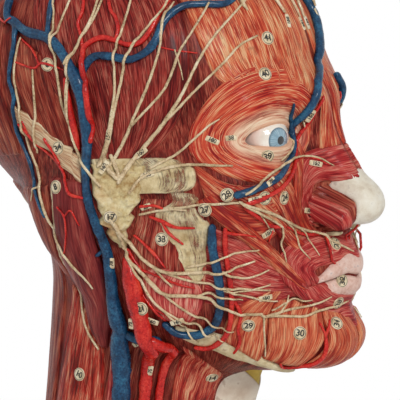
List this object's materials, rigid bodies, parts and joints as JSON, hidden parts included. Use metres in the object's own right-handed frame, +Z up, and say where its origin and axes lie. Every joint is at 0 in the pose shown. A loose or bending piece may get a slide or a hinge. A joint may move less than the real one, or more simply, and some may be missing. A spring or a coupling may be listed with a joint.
{
  "type": "anatomical head model",
  "caption": "Life-size dissected head and neck on a turned wooden stand; the head turns, the skull cap and brain halves lift out, the larynx pulls forward.",
  "frame": {"origin": "middle of the stand's underside, on the axis that the head turns about", "axes": "+Z up, +X the way the face looks, -Y the head's right side"},
  "size_m": [0.2286, 0.22, 0.4291],
  "materials": {
    "painted_flesh": "varnished paint on papier mache",
    "painted_muscle": "varnished paint on papier mache",
    "painted_gland": "varnished paint on papier mache",
    "painted_cartilage": "varnished paint on papier mache",
    "painted_brain": "varnished paint on papier mache",
    "eye_enamel": "painted and glossy",
    "vein_blue": "painted and varnished cord",
    "artery_red": "painted and varnished cord",
    "nerve_cream": "painted and varnished cord",
    "paper_label": "aged printed paper",
    "ebonised_wood": "ebonised and polished",
    "felt": "felt",
    "brass": "aged brass",
    "iron": "turned iron"
  },
  "bodies": {
    "stand": {"base_felt": "felt", "base_plinth": "ebonised_wood", "stand_pillar": "ebonised_wood", "pillar_collar": "brass", "spindle": "iron"},
    "head": {"neck_socket": "brass", "hook_pin_right": "brass", "hook_pin_left": "brass", "head_core": "painted_flesh", "cerebellum": "painted_brain", "eye_right": "eye_enamel", "eye_left": "eye_enamel", "temporalis_right": "painted_muscle", "masseter_right": "painted_muscle", "parotid_right": "painted_gland", "sternomastoid_right": "painted_muscle", "sternohyoid_right": "painted_muscle", "temporal_vein_right": "vein_blue", "facial_vein_right": "vein_blue", "angular_vein_right": "vein_blue", "carotid_artery_right": "artery_red", "temporal_artery_right": "artery_red", "occipital_artery_right": "artery_red", "facial_artery_right": "artery_red", "angular_artery_right": "artery_red", "chin_artery_right": "artery_red", "temporal_nerves_right": "nerve_cream", "facial_nerves_right": "nerve_cream", "infraorbital_nerves_right": "nerve_cream", "mental_nerves_right": "nerve_cream", "occipital_nerves_right": "nerve_cream", "nape_nerve_right": "nerve_cream", "temporalis_left": "painted_muscle", "masseter_left": "painted_muscle", "parotid_left": "painted_gland", "sternomastoid_left": "painted_muscle", "sternohyoid_left": "painted_muscle", "temporal_vein_left": "vein_blue", "facial_vein_left": "vein_blue", "angular_vein_left": "vein_blue", "carotid_artery_left": "artery_red", "temporal_artery_left": "artery_red", "occipital_artery_left": "artery_red", "facial_artery_left": "artery_red", "angular_artery_left": "artery_red", "chin_artery_left": "artery_red", "temporal_nerves_left": "nerve_cream", "facial_nerves_left": "nerve_cream", "infraorbital_nerves_left": "nerve_cream", "mental_nerves_left": "nerve_cream", "occipital_nerves_left": "nerve_cream", "nape_nerve_left": "nerve_cream"},
    "skull_cap": {"skull_cap": "painted_flesh", "cap_stud_right": "brass", "cap_stud_left": "brass"},
    "brain_right": {"brain_right": "painted_brain"},
    "brain_left": {"brain_left": "painted_brain"},
    "cap_hook_right": {"cap_hook_right": "brass"},
    "cap_hook_left": {"cap_hook_left": "brass"},
    "larynx": {"larynx": "painted_cartilage"}
  },
  "joints": [
    {"name": "head_turn", "type": "hinge", "parent": "stand", "child": "head", "pos_m": [0, 0, 0.1], "axis": [0, 0, 1], "continuous": true},
    {"name": "cap_lift", "type": "slide", "parent": "head", "child": "skull_cap", "axis": [-0.1736, 0, 0.9848], "range_m": [0, 0.15]},
    {"name": "brain_right_lift", "type": "slide", "parent": "head", "child": "brain_right", "axis": [-0.1736, 0, 0.9848], "range_m": [0, 0.105]},
    {"name": "brain_left_lift", "type": "slide", "parent": "head", "child": "brain_left", "axis": [-0.1736, 0, 0.9848], "range_m": [0, 0.105]},
    {"name": "cap_hook_right_turn", "type": "hinge", "parent": "head", "child": "cap_hook_right", "pos_m": [-0.0814, -0.03941, 0.37361], "axis": [0.7271, 0.5163, -0.4526], "range_deg": [0, 173]},
    {"name": "cap_hook_left_turn", "type": "hinge", "parent": "head", "child": "cap_hook_left", "pos_m": [-0.0814, 0.03941, 0.37361], "axis": [-0.7271, 0.5163, 0.4526], "range_deg": [0, 173]},
    {"name": "larynx_pull", "type": "slide", "parent": "head", "child": "larynx", "axis": [1, 0, 0], "range_m": [0, 0.03]}
  ],
  "couplings": [
    {"joint": "brain_right_lift", "follows": "cap_lift", "ratio": 0.7},
    {"joint": "brain_left_lift", "follows": "cap_lift", "ratio": 0.7}
  ]
}
